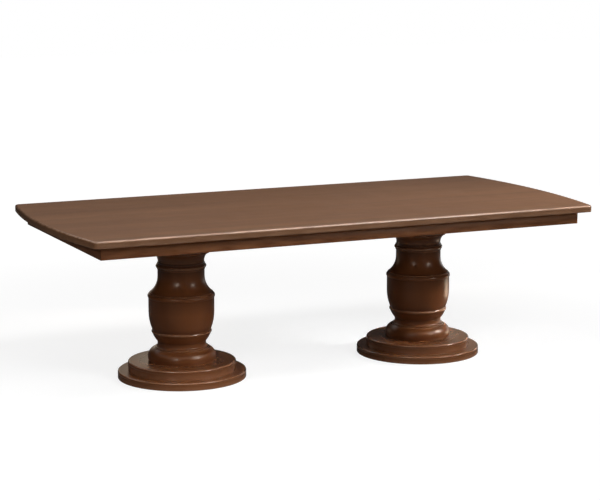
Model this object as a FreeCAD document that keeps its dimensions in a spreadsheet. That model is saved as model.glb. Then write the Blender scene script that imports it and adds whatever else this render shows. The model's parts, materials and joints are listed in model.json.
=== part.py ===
import FreeCAD, Part
import math
import os
import re

import Sketcher

doc = FreeCAD.newDocument("pedestal_table")

# Driving sizes, in millimetres
SIZES = {
    # Table top
    "top_length": 2440,
    "top_width": 1170,
    "top_thick": 32,
    "end_bow": 57,
    "top_corner_round": 22,
    "top_arris_round": 9,
    "top_lower_round": 3,
    # Apron under the top
    "apron_depth": 59,
    "apron_thick": 22,
    "apron_side_inset": 58,
    "apron_end_inset": 43,
    "apron_ease": 2,
    "rail_cover": 8,
    "block_width": 45,
    "block_rise": 15,
    # Pedestals, from the floor up
    "pedestal_inset": 605,
    "glide_height": 3,
    "base_radius": 295.5,
    "base_thick": 35,
    "base_round": 6,
    "plinth_radius": 248.5,
    "plinth_thick": 44,
    "plinth_round": 7,
    "torus_foot_radius": 153,
    "torus_top_radius": 127,
    "torus_rise": 60,
    "torus_bulge": 14.6,
    "torus_fillet_radius": 123,
    "torus_fillet_rise": 5,
    "urn_foot_radius": 121,
    "cove_rise": 11,
    "cove_hollow": 2.7,
    "lower_neck_radius": 111.5,
    "lower_neck_rise": 14,
    "cup_radius": 135.5,
    "cup_rise": 39.8,
    "cup_bulge": 1.8,
    "lower_bead_rise": 12.4,
    "lower_bead_proud": 3,
    "quirk_rise": 4.8,
    "urn_radius": 151,
    "belly_rise": 81,
    "belly_bulge": 4,
    "urn_wall_rise": 65.4,
    "shoulder_radius": 149.3,
    "shoulder_bead_rise": 18.6,
    "shoulder_bead_proud": 4.5,
    "shoulder_step": 1.8,
    "shoulder_step_rise": 4,
    "neck_foot_radius": 146,
    "neck_foot_rise": 2,
    "neck_foot_step": 1.5,
    "neck_radius": 107.8,
    "flare_rise": 75,
    "flare_hollow": 9.7,
    "neck_rise": 32,
    "neck_fillet_radius": 110,
    "neck_fillet_rise": 6,
    "neck_bead_rise": 17,
    "neck_bead_proud": 6,
    "collar_radius": 106.5,
    "collar_rise": 12,
    "cavetto_radius": 131,
    "cavetto_rise": 37,
    "cavetto_hollow": 6,
    "capital_fillet_radius": 134,
    "capital_fillet_rise": 8,
    "echinus_radius": 180,
    "echinus_rise": 37,
    "echinus_bulge": 8,
    "abacus_radius": 190,
    "abacus_rise": 41,
    "spigot_radius": 60,
    "spigot_rise": 12,
    "spigot_clear": 0.4,
    # Framing between the pedestals and the top
    "plate_margin": 20,
    "plate_thick": 25,
    "bearer_width": 70,
    "bearer_depth": 34,
    "bearer_edge": 60,
    "bearer_end_gap": 1,
    # Tie rods
    "rod_radius": 8,
    "rod_clear": 1,
    "rod_tail": 3,
    "nut_wall": 4,
    "nut_height": 13,
    "nut_recess_clear": 3,
    "nut_recess_room": 5,
    "washer_rim": 17,
    "washer_thick": 3,
    "thread_clear": 0.05,
    # Bolts and inserts
    "bolt_radius": 4,
    "bolt_clear": 0.5,
    "bolt_head_wall": 2.5,
    "bolt_head_height": 5.5,
    "bolt_tail": 3,
    "bolt_edge": 45,
    "insert_wall": 2,
    "insert_cover": 14,
    "insert_room": 5,
    # Wood screws
    "screw_radius": 2.5,
    "screw_head_rim": 3,
    "screw_head_height": 3.5,
    "screw_point": 6,
    "screw_clear": 0.3,
    "pilot_room": 1.5,
    "top_cover": 12,
    "bearer_sink": 12,
    "bearer_sink_clear": 1.5,
    "bearer_screw_gap": 50,
    "plate_screw_bite": 20,
    "plate_screw_edge": 45,
    # Apron clips
    "clip_leg": 26,
    "clip_width": 20,
    "clip_thick": 2,
    "clip_screw_radius": 1.75,
    "clip_screw_rim": 1.75,
    "clip_screw_head_height": 2,
    # Levelling glides
    "glide_edge": 70.5,
    "glide_cover": 9,
    "pad_radius": 16,
    "pad_socket_depth": 4,
    "pad_edge_round": 1.5,
    "pad_recess_clear": 2,
    "pad_recess_depth": 6,
    "pad_stop_gap": 0.4,
    "stem_radius": 4,
    "stem_clear": 0.05,
    "stem_end_gap": 0.3,
    "stem_top_gap": 1,
}

sheet = doc.addObject("Spreadsheet::Sheet", "Sizes")
for row, (alias, size) in enumerate(SIZES.items(), start=1):
    sheet.set(f"A{row}", alias)
    sheet.set(f"B{row}", str(size))
    sheet.setAlias(f"B{row}", alias)
doc.recompute()

nodes = []

TOLERANCE = 1e-4
BOTH_SIGNS = ("-", "+")
GLIDES_PER_BASE = 4
QUARTER_ROUND = "(1 - sqrt(0.5))"

# Shares of a screw head's radius and height, and of the shank's radius at the point
HEAD_FACE_SHARE = 0.6
HEAD_CROWN_SHARE = 0.2
POINT_SHARE = 0.2

# Shares of a length at which fixings stand, measured from the middle of the piece or up from its foot
RAIL_SCREW_SHARE = 0.6
END_CLIP_SHARE = 0.65
END_SCREW_SHARE = 0.7
SIDE_SCREW_SHARE = 0.3

UPRIGHT = FreeCAD.Rotation()
DIRECTIONS = {
    "up": UPRIGHT,
    "down": FreeCAD.Rotation(FreeCAD.Vector(1, 0, 0), 180),
    "+x": FreeCAD.Rotation(FreeCAD.Vector(0, 1, 0), 90),
    "-x": FreeCAD.Rotation(FreeCAD.Vector(0, 1, 0), -90),
    "+y": FreeCAD.Rotation(FreeCAD.Vector(1, 0, 0), -90),
    "-y": FreeCAD.Rotation(FreeCAD.Vector(1, 0, 0), 90),
}


def bound(text):
    """The expression text with each size's name pointed at the sheet."""
    return re.sub(r"[a-z_]+", lambda word: f"Sizes.{word[0]}" if word[0] in SIZES else word[0], text)


def value(text):
    """What an expression text comes to, in millimetres."""
    return float(sheet.evalExpression(bound(text)))


def point(x, y, z):
    """A point in space from three expression texts."""
    return FreeCAD.Vector(value(x), value(y), value(z))


def stack(*rises):
    """The levels reached by adding heights one after another, from 0 up."""
    levels = ["0"]
    for rise in rises:
        levels.append(f"{levels[-1]} + {rise}")
    return levels


def place(piece, x, y, z):
    """Ties a piece's place to expression texts."""
    for axis, text in zip("xyz", (x, y, z)):
        piece.setExpression(f"Placement.Base.{axis}", bound(text))


def origin_plane(body, role):
    """One of a body's own origin planes."""
    return next(item for item in body.Origin.OriginFeatures if item.Role == role)


def new_sketch(body, role):
    """An empty sketch on one of a body's origin planes."""
    sketch = body.newObject("Sketcher::SketchObject", body.Name + "_outline")
    sketch.AttachmentSupport = [(origin_plane(body, role), "")]
    sketch.MapMode = "FlatFace"
    return sketch


def tie(sketch, kind, elements, text):
    """Adds one dimension to a sketch and ties it to an expression text."""
    index = sketch.addConstraint(Sketcher.Constraint(kind, *elements, value(text)))
    sketch.setExpression(f"Constraints[{index}]", bound(text))


def tie_point(sketch, edge, end, across, up):
    """Ties one end of a sketch edge to its place across and up from the origin."""
    for kind, axis, text in (("DistanceX", -2, across), ("DistanceY", -1, up)):
        size = value(text)
        if abs(size) < TOLERANCE:
            sketch.addConstraint(Sketcher.Constraint("PointOnObject", edge, end, axis))
        elif size > 0:
            tie(sketch, kind, (-1, 1, edge, end), text)
        else:
            tie(sketch, kind, (edge, end, -1, 1), f"-({text})")


def draw(sketch, outline):
    """Draws a closed outline, anticlockwise. Each corner is its place across and up. A third and a
    fourth item make the edge that arrives there an arc, round or hollow, that swells by that much."""
    corners = [FreeCAD.Vector(value(corner[0]), value(corner[1]), 0) for corner in outline]
    ends = []
    for index, corner in enumerate(outline):
        start, finish = corners[index - 1], corners[index]
        if len(corner) == 2:
            edge = sketch.addGeometry(Part.LineSegment(start, finish))
            ends.append((edge, 1, 2))
            continue
        swell = value(corner[3])
        chord = finish - start
        radius = chord.Length ** 2 / (8 * swell) + swell / 2
        side = 1 if corner[2] == "round" else -1
        left = FreeCAD.Vector(-chord.y, chord.x, 0).normalize()
        centre = (start + finish) * 0.5 + left * side * (radius - swell)
        first, last = (start, finish) if side == 1 else (finish, start)
        first_angle = math.atan2(first.y - centre.y, first.x - centre.x)
        last_angle = math.atan2(last.y - centre.y, last.x - centre.x)
        circle = Part.Circle(centre, FreeCAD.Vector(0, 0, 1), radius)
        edge = sketch.addGeometry(Part.ArcOfCircle(circle, first_angle, last_angle))
        ends.append((edge, 1, 2) if side == 1 else (edge, 2, 1))
    for index, corner in enumerate(outline):
        edge, _, finish = ends[index]
        next_edge, next_start, _ = ends[(index + 1) % len(ends)]
        sketch.addConstraint(Sketcher.Constraint("Coincident", edge, finish, next_edge, next_start))
        tie_point(sketch, edge, finish, corner[0], corner[1])
    for index, corner in enumerate(outline):
        if len(corner) == 4:
            before = outline[index - 1]
            chord_squared = f"(({corner[0]}) - ({before[0]}))^2 + (({corner[1]}) - ({before[1]}))^2"
            radius = f"({chord_squared}) / (8 * ({corner[3]})) + ({corner[3]}) / 2"
            tie(sketch, "Radius", (ends[index][0],), radius)


def keep(piece):
    """Lists a finished piece as a node of its own."""
    nodes.append(piece)
    return piece


def lathe(label, x, y, z, outline):
    """A piece turned about its own upright axis."""
    body = doc.addObject("PartDesign::Body", label)
    sketch = new_sketch(body, "XZ_Plane")
    draw(sketch, outline)
    turning = body.newObject("PartDesign::Revolution", label + "_turning")
    turning.Profile = sketch
    turning.ReferenceAxis = (sketch, ["V_Axis"])
    turning.Angle = 360
    sketch.Visibility = False
    place(body, x, y, z)
    return body


def column_section(label, x, z, wall, hollow, spigot):
    """A turned section of a column: the wall from foot to top, a hollow under it, and a spigot on top
    where the next section sits on this one."""
    bore = "rod_radius + rod_clear"
    top = wall[-1][1]
    outline = [(bore, hollow[1]), (hollow[0], hollow[1]), (hollow[0], "0"), *wall]
    if spigot:
        tip = f"{top} + spigot_rise"
        outline += [("spigot_radius", top), ("spigot_radius", tip), (bore, tip)]
    else:
        outline.append((bore, top))
    return lathe(label, x, "0", z, outline)


def box(label, low, high):
    """A block between two corners."""
    block = doc.addObject("Part::Box", label)
    for name, start, finish in zip(("Length", "Width", "Height"), low, high):
        block.setExpression(name, bound(f"({finish}) - ({start})"))
    place(block, *low)
    return block


def cylinder(label, at, direction, radius, length):
    """A round bar or drill of one radius, from its first end in one direction."""
    bar = doc.addObject("Part::Cylinder", label)
    bar.setExpression("Radius", bound(radius))
    bar.setExpression("Height", bound(length))
    bar.Placement.Rotation = DIRECTIONS[direction]
    place(bar, *at)
    return bar


def drilled(label, blank, drills):
    """A piece with its drills taken out of it."""
    tool = doc.addObject("Part::Compound", label + "_drills")
    tool.Links = drills
    piece = doc.addObject("Part::Cut", label)
    piece.Base = blank
    piece.Tool = tool
    return piece


def group(label, pattern, places):
    """One node that holds a copy of a pattern piece at each place, each a solid of its own."""
    doc.recompute()
    copies = []
    for at, turn in places:
        copy = pattern.Shape.copy()
        copy.Placement = FreeCAD.Placement(point(*at), turn).multiply(copy.Placement)
        copies.append(copy)
    piece = doc.addObject("Part::Feature", label)
    piece.Shape = Part.makeCompound(copies)
    piece.Placement = FreeCAD.Placement()
    return keep(piece)


def wood_screw(label, head_radius, head_height, radius, length, tip):
    """A pan-head screw that points up, with its head's outer face at the origin."""
    shoulder = head_height
    end = f"{head_height} + {length}"
    shank = f"{end} - {tip}"
    outline = [
        ("0", "0"),
        (f"{HEAD_FACE_SHARE} * {head_radius}", "0"),
        (head_radius, shoulder, "round", f"{HEAD_CROWN_SHARE} * {head_height}"),
        (radius, shoulder),
        (radius, shank),
        (f"{POINT_SHARE} * {radius}", end),
        ("0", end),
    ]
    return lathe(label, "0", "0", "0", outline)


# Levels, from the floor up
base_z = "glide_height"
plinth_z = f"{base_z} + base_thick"
torus_z = f"{plinth_z} + plinth_thick"
torus_levels = stack("torus_rise", "torus_fillet_rise")
urn_z = f"{torus_z} + {torus_levels[-1]}"
urn_levels = stack(
    "cove_rise", "lower_neck_rise", "cup_rise", "lower_bead_rise", "quirk_rise", "belly_rise",
    "urn_wall_rise", "shoulder_bead_rise", "shoulder_step_rise",
)
neck_z = f"{urn_z} + {urn_levels[-1]}"
neck_levels = stack(
    "neck_foot_rise", "flare_rise", "neck_rise", "neck_fillet_rise", "neck_bead_rise",
    "neck_fillet_rise", "collar_rise",
)
capital_z = f"{neck_z} + {neck_levels[-1]}"
capital_levels = stack("cavetto_rise", "capital_fillet_rise", "echinus_rise", "abacus_rise")
plate_z = f"{capital_z} + {capital_levels[-1]}"
bearer_z = f"{plate_z} + plate_thick"
top_z = f"{bearer_z} + bearer_depth"
apron_z = f"{top_z} - apron_depth"

# Half sizes of the apron frame, outside and inside
apron_x = "top_length / 2 - apron_end_inset"
apron_y = "top_width / 2 - apron_side_inset"
apron_inner_x = f"{apron_x} - apron_thick"
apron_inner_y = f"{apron_y} - apron_thick"

pedestal_half = "(top_length / 2 - pedestal_inset)"
pedestal_x = {"left": f"-{pedestal_half}", "right": pedestal_half}

# Half sizes of the mounting plates, and what lies on them
plate_half = "(abacus_radius + plate_margin)"
bearer_offset = f"({plate_half} - bearer_edge)"
bolt_y = f"({plate_half} - bolt_edge)"
plate_screw_y = "(abacus_radius - plate_screw_edge)"
bearer_end = f"({apron_inner_y} - bearer_end_gap)"
rail_end = f"({pedestal_half} - {bearer_offset} - bearer_width / 2 - bearer_end_gap)"
block_depth = "(apron_depth - block_rise)"
rail_bite = "(apron_thick - rail_cover)"
top_bite = "(top_thick - top_cover)"

# Hardware sizes that follow from the rod, bolt, stem and screw they go with
bearer_insert_length = "(bearer_depth - insert_cover)"
glide_insert_length = "(base_thick - pad_recess_depth - glide_cover)"
washer_radius = "(rod_radius + washer_rim)"
nut_recess = (f"{washer_radius} + nut_recess_clear", "washer_thick + nut_height + rod_tail + nut_recess_room")
screw_head_radius = "(screw_radius + screw_head_rim)"
clip_screw_head_radius = "(clip_screw_radius + clip_screw_rim)"
clip_screw_bite = f"min({rail_bite}; {top_bite})"
clip_screw_length = f"(clip_thick + {clip_screw_bite})"
clip_screw_place = "((clip_leg + clip_thick) / 2)"
glide_ring = "(base_radius - glide_edge)"

# Bearers, named by pedestal and by which way they lie from it
BEARERS = {
    "left_outer_bearer": f"{pedestal_x['left']} - {bearer_offset}",
    "left_inner_bearer": f"{pedestal_x['left']} + {bearer_offset}",
    "right_inner_bearer": f"{pedestal_x['right']} - {bearer_offset}",
    "right_outer_bearer": f"{pedestal_x['right']} + {bearer_offset}",
}
near_screw_y = f"({bolt_y} - bearer_screw_gap)"
far_screw_y = f"(({bolt_y} + {bearer_end}) / 2)"
BEARER_SCREW_PLACES = (f"-{far_screw_y}", f"-{near_screw_y}", near_screw_y, far_screw_y)
bearer_screws = [(x, y) for x in BEARERS.values() for y in BEARER_SCREW_PLACES]
far_rail_screw = f"{RAIL_SCREW_SHARE} * {rail_end}"
rail_screws = [(f"-{far_rail_screw}", "0"), ("0", "0"), (far_rail_screw, "0")]
pilot_radius = "screw_radius + thread_clear"

# Apron clips: place on the apron's inner face, and the turn that faces them inwards
outer_bearer_face = f"({pedestal_half} + {bearer_offset} + bearer_width / 2)"
far_clip_x = f"(({outer_bearer_face} + {apron_inner_x} - block_width) / 2)"
far_clip_y = f"({END_CLIP_SHARE} * ({apron_inner_y} - block_width))"
CLIP_SIDE_PLACES = (f"-{far_clip_x}", pedestal_x["left"], "0", pedestal_x["right"], far_clip_x)
CLIP_END_PLACES = (f"-{far_clip_y}", "0", far_clip_y)
clips = []
for along in CLIP_SIDE_PLACES:
    clips.append((along, f"-({apron_inner_y})", "-y", 0))
    clips.append((along, apron_inner_y, "+y", 180))
for along in CLIP_END_PLACES:
    clips.append((f"-({apron_inner_x})", along, "-x", -90))
    clips.append((apron_inner_x, along, "+x", 90))
clip_pilot_radius = "clip_screw_radius + thread_clear"
clip_pilot_depth = f"{clip_screw_bite} + pilot_room"


def inward(x, y, outward, distance):
    """A place moved from an apron rail's inner face towards the middle of the table."""
    moves = {
        "-x": (f"{x} + {distance}", y),
        "+x": (f"{x} - ({distance})", y),
        "-y": (x, f"{y} + {distance}"),
        "+y": (x, f"{y} - ({distance})"),
    }
    return moves[outward]


def edges_at(shape, height):
    """Names of the edges that lie flat at one height."""
    names = []
    for index, edge in enumerate(shape.Edges, start=1):
        levels = (edge.BoundBox.ZMin, edge.BoundBox.ZMax)
        if all(abs(level - height) < TOLERANCE for level in levels):
            names.append(f"Edge{index}")
    return names


def upright_edges(shape):
    """Names of the edges that stand upright."""
    return [f"Edge{i}" for i, edge in enumerate(shape.Edges, start=1) if edge.BoundBox.ZLength > TOLERANCE]


def rounded(body, base, names, radius):
    """Rounds the named edges of a body's last feature."""
    fillet = body.newObject("PartDesign::Fillet", body.Name + "_rounding")
    fillet.Base = (base, names)
    fillet.setExpression("Radius", bound(radius))
    doc.recompute()
    return fillet


def table_top():
    """The slab: straight long sides, bowed ends, rounded corners and a soft upper arris."""
    body = doc.addObject("PartDesign::Body", "table_top_blank")
    sketch = new_sketch(body, "XY_Plane")
    half_x, half_y = "top_length / 2", "top_width / 2"
    outline = [
        (f"-{half_x}", f"-{half_y}", "round", "end_bow"),
        (half_x, f"-{half_y}"),
        (half_x, half_y, "round", "end_bow"),
        (f"-{half_x}", half_y),
    ]
    draw(sketch, outline)
    slab = body.newObject("PartDesign::Pad", "table_top_slab")
    slab.Profile = sketch
    slab.setExpression("Length", bound("top_thick"))
    doc.recompute()
    corners = rounded(body, slab, upright_edges(slab.Shape), "top_corner_round")
    arris = rounded(body, corners, edges_at(corners.Shape, value("top_thick")), "top_arris_round")
    rounded(body, arris, edges_at(arris.Shape, 0), "top_lower_round")
    place(body, "0", "0", top_z)
    drills = []
    top_pilot_depth = f"{top_bite} + pilot_room"
    for index, (x, y) in enumerate(bearer_screws + rail_screws):
        drills.append(cylinder(f"top_pilot_{index}", (x, y, top_z), "up", pilot_radius, top_pilot_depth))
    for index, (x, y, outward, _) in enumerate(clips):
        at = (*inward(x, y, outward, clip_screw_place), top_z)
        drills.append(cylinder(f"top_clip_pilot_{index}", at, "up", clip_pilot_radius, clip_pilot_depth))
    keep(drilled("table_top", body, drills))


CORNERS = (("-", "-"), ("+", "-"), ("+", "+"), ("-", "+"))
block_z = f"{top_z} - {block_depth}"
end_screw_z = f"{block_z} + {END_SCREW_SHARE} * {block_depth}"
side_screw_z = f"{block_z} + {SIDE_SCREW_SHARE} * {block_depth}"


def block_centre(x_sign, y_sign):
    """Where a corner block's middle stands in plan."""
    return f"{x_sign}({apron_inner_x} - block_width / 2)", f"{y_sign}({apron_inner_y} - block_width / 2)"


def apron_rail(label, plan):
    """A rail with mitred ends, drawn in plan, and its two long lower edges eased."""
    body = doc.addObject("PartDesign::Body", label + "_blank")
    sketch = new_sketch(body, "XY_Plane")
    draw(sketch, plan)
    rail = body.newObject("PartDesign::Pad", label + "_rail")
    rail.Profile = sketch
    rail.setExpression("Length", bound("apron_depth"))
    doc.recompute()
    mitre = math.hypot(value("apron_thick"), value("apron_thick"))
    lower = edges_at(rail.Shape, 0)
    long_lower = [name for name in lower if rail.Shape.getElement(name).Length > 2 * mitre]
    rounded(body, rail, long_lower, "apron_ease")
    place(body, "0", "0", apron_z)
    return body


def apron():
    """Four rails mitred at the corners, with blocks screwed inside and clips to the top."""
    outer = [(f"{x_sign}({apron_x})", f"{y_sign}({apron_y})") for x_sign, y_sign in CORNERS]
    inner = [(f"{x_sign}({apron_inner_x})", f"{y_sign}({apron_inner_y})") for x_sign, y_sign in CORNERS]
    rails = {"front_apron": "-y", "right_end_apron": "+x", "back_apron": "+y", "left_end_apron": "-x"}
    clip_screw_z = f"{top_z} - {clip_screw_place}"
    block_pilot_depth = f"{rail_bite} + pilot_room"
    for start, (label, outward) in enumerate(rails.items()):
        finish = (start + 1) % len(CORNERS)
        plan = [outer[start], outer[finish], inner[finish], inner[start]]
        drills = []
        for index, (x, y, facing, _) in enumerate(clips):
            if facing == outward:
                pilot = f"{label}_pilot_{index}"
                at = (x, y, clip_screw_z)
                drills.append(cylinder(pilot, at, outward, clip_pilot_radius, clip_pilot_depth))
        for index, (x_sign, y_sign) in enumerate(CORNERS):
            x, y = block_centre(x_sign, y_sign)
            pilot = f"{label}_block_pilot_{index}"
            if outward == x_sign + "x":
                at = (f"{x_sign}({apron_inner_x})", y, end_screw_z)
                drills.append(cylinder(pilot, at, outward, pilot_radius, block_pilot_depth))
            if outward == y_sign + "y":
                at = (x, f"{y_sign}({apron_inner_y})", side_screw_z)
                drills.append(cylinder(pilot, at, outward, pilot_radius, block_pilot_depth))
        keep(drilled(label, apron_rail(label, plan), drills))


def corner_blocks():
    """A block in each inner corner of the apron, with one screw into each rail."""
    half = "block_width / 2"
    blank = box("corner_block_blank", (f"-{half}", f"-{half}", "0"), (half, half, block_depth))
    way = "screw_radius + screw_clear"
    end_mouth = (f"-{half}", "0", f"{END_SCREW_SHARE} * {block_depth}")
    side_mouth = ("0", f"-{half}", f"{SIDE_SCREW_SHARE} * {block_depth}")
    drills = [
        cylinder("corner_block_end_way", end_mouth, "+x", way, "block_width"),
        cylinder("corner_block_side_way", side_mouth, "+y", way, "block_width"),
    ]
    pattern = drilled("corner_block_pattern", blank, drills)
    places = [((*block_centre(*signs), block_z), UPRIGHT) for signs in CORNERS]
    group("corner_blocks", pattern, places)
    screw = wood_screw(
        "block_screw_pattern", screw_head_radius, "screw_head_height", "screw_radius",
        f"block_width + {rail_bite}", "screw_point",
    )
    screw_places = []
    for x_sign, y_sign in CORNERS:
        x, y = block_centre(x_sign, y_sign)
        inner_x = f"{x_sign}({apron_inner_x} - block_width - screw_head_height)"
        inner_y = f"{y_sign}({apron_inner_y} - block_width - screw_head_height)"
        screw_places.append(((inner_x, y, end_screw_z), DIRECTIONS[x_sign + "x"]))
        screw_places.append(((x, inner_y, side_screw_z), DIRECTIONS[y_sign + "y"]))
    group("corner_block_screws", screw, screw_places)


def apron_clips():
    """Angle clips that hold the apron's inner faces to the underside of the top."""
    half = "clip_width / 2"
    flat = box("clip_flat_leg", (f"-{half}", "0", "-clip_thick"), (half, "clip_leg", "0"))
    drop = box("clip_drop_leg", (f"-{half}", "0", "-clip_leg"), (half, "clip_thick", "-clip_thick"))
    angle = doc.addObject("Part::Fuse", "clip_angle")
    angle.Base = flat
    angle.Tool = drop
    way = "clip_screw_radius + screw_clear"
    drills = [
        cylinder("clip_top_way", ("0", clip_screw_place, "-clip_thick"), "up", way, "clip_thick"),
        cylinder("clip_rail_way", ("0", "0", f"-{clip_screw_place}"), "+y", way, "clip_thick"),
    ]
    pattern = drilled("clip_pattern", angle, drills)
    places = [((x, y, top_z), FreeCAD.Rotation(FreeCAD.Vector(0, 0, 1), turn)) for x, y, _, turn in clips]
    group("apron_clips", pattern, places)
    screw = wood_screw(
        "clip_screw_pattern", clip_screw_head_radius, "clip_screw_head_height", "clip_screw_radius",
        clip_screw_length, "2 * clip_screw_radius",
    )
    seat = "clip_thick + clip_screw_head_height"
    screw_places = []
    for x, y, outward, _ in clips:
        under = (*inward(x, y, outward, clip_screw_place), f"{top_z} - ({seat})")
        beside = (*inward(x, y, outward, seat), f"{top_z} - {clip_screw_place}")
        screw_places.append((under, UPRIGHT))
        screw_places.append((beside, DIRECTIONS[outward]))
    group("clip_screws", screw, screw_places)


bearer_insert_radius = "(bolt_radius + insert_wall)"
glide_insert_radius = "(stem_radius + insert_wall)"


def screw_ways(label, x, y):
    """The sunk way for one screw up through a bearer or the centre rail."""
    sink_radius = f"{screw_head_radius} + bearer_sink_clear"
    return [
        cylinder(f"{label}_way", (x, y, bearer_z), "up", "screw_radius + screw_clear", "bearer_depth"),
        cylinder(f"{label}_sink", (x, y, bearer_z), "up", sink_radius, "bearer_sink"),
    ]


def framing():
    """Bearers across the table over each pedestal, and a centre rail between the inner two."""
    pocket_radius = f"{bearer_insert_radius} + thread_clear"
    pocket_depth = f"{bearer_insert_length} + insert_room"
    for label, x in BEARERS.items():
        blank = box(
            label + "_blank",
            (f"{x} - bearer_width / 2", f"-{bearer_end}", bearer_z),
            (f"{x} + bearer_width / 2", bearer_end, top_z),
        )
        drills = []
        for index, y in enumerate(BEARER_SCREW_PLACES):
            drills += screw_ways(f"{label}_screw_{index}", x, y)
        for index, sign in enumerate(BOTH_SIGNS):
            at = (x, f"{sign}{bolt_y}", bearer_z)
            drills.append(cylinder(f"{label}_pocket_{index}", at, "up", pocket_radius, pocket_depth))
        keep(drilled(label, blank, drills))
    half = "bearer_width / 2"
    blank = box("centre_rail_blank", (f"-{rail_end}", f"-{half}", bearer_z), (rail_end, half, top_z))
    drills = []
    for index, (x, y) in enumerate(rail_screws):
        drills += screw_ways(f"centre_rail_screw_{index}", x, y)
    keep(drilled("centre_rail", blank, drills))
    screw = wood_screw(
        "bearer_screw_pattern", screw_head_radius, "screw_head_height", "screw_radius",
        f"bearer_depth - bearer_sink + {top_bite}", "screw_point",
    )
    head_z = f"{bearer_z} + bearer_sink - screw_head_height"
    group("bearer_screws", screw, [((x, y, head_z), UPRIGHT) for x, y in bearer_screws + rail_screws])


def hexagon(label, flats, height):
    """A six-sided prism of one width across its flats, standing on the origin."""
    prism = doc.addObject("Part::Prism", label)
    prism.Polygon = 6
    prism.setExpression("Circumradius", bound(f"{flats} / sqrt(3)"))
    prism.setExpression("Height", bound(height))
    return prism


def sleeve(label, radius, bore, height):
    """A plain round sleeve that stands on the origin."""
    return lathe(label, "0", "0", "0", [(bore, "0"), (radius, "0"), (radius, height), (bore, height)])


nut_bore = "rod_radius + thread_clear"
nut_pattern = drilled(
    "nut_pattern",
    hexagon("nut_blank", "2 * (rod_radius + nut_wall)", "nut_height"),
    [cylinder("nut_bore", ("0", "0", "0"), "up", nut_bore, "nut_height")],
)
washer_pattern = sleeve("washer_pattern", washer_radius, "rod_radius + rod_clear / 2", "washer_thick")
bearer_insert_pattern = sleeve(
    "bearer_insert_pattern", bearer_insert_radius, "bolt_radius + thread_clear", bearer_insert_length
)
glide_insert_pattern = sleeve(
    "glide_insert_pattern", glide_insert_radius, "stem_radius + stem_clear", glide_insert_length
)

bolt_pattern = doc.addObject("Part::Fuse", "bolt_pattern")
bolt_pattern.Base = hexagon("bolt_head", "2 * (bolt_radius + bolt_head_wall)", "bolt_head_height")
bolt_length = f"plate_thick + {bearer_insert_length} + bolt_tail"
bolt_pattern.Tool = cylinder("bolt_shank", ("0", "0", "bolt_head_height"), "up", "bolt_radius", bolt_length)

plate_screw_pattern = wood_screw(
    "plate_screw_pattern", screw_head_radius, "screw_head_height", "screw_radius",
    "plate_thick + plate_screw_bite", "screw_point",
)


def glide_places(x):
    """The four glides' places round a pedestal's axis, on its diagonals."""
    places = []
    for index in range(GLIDES_PER_BASE):
        turn = f"({index} * 360deg / {GLIDES_PER_BASE} + 45deg)"
        places.append((f"{x} + {glide_ring} * cos({turn})", f"{glide_ring} * sin({turn})"))
    return places


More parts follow.
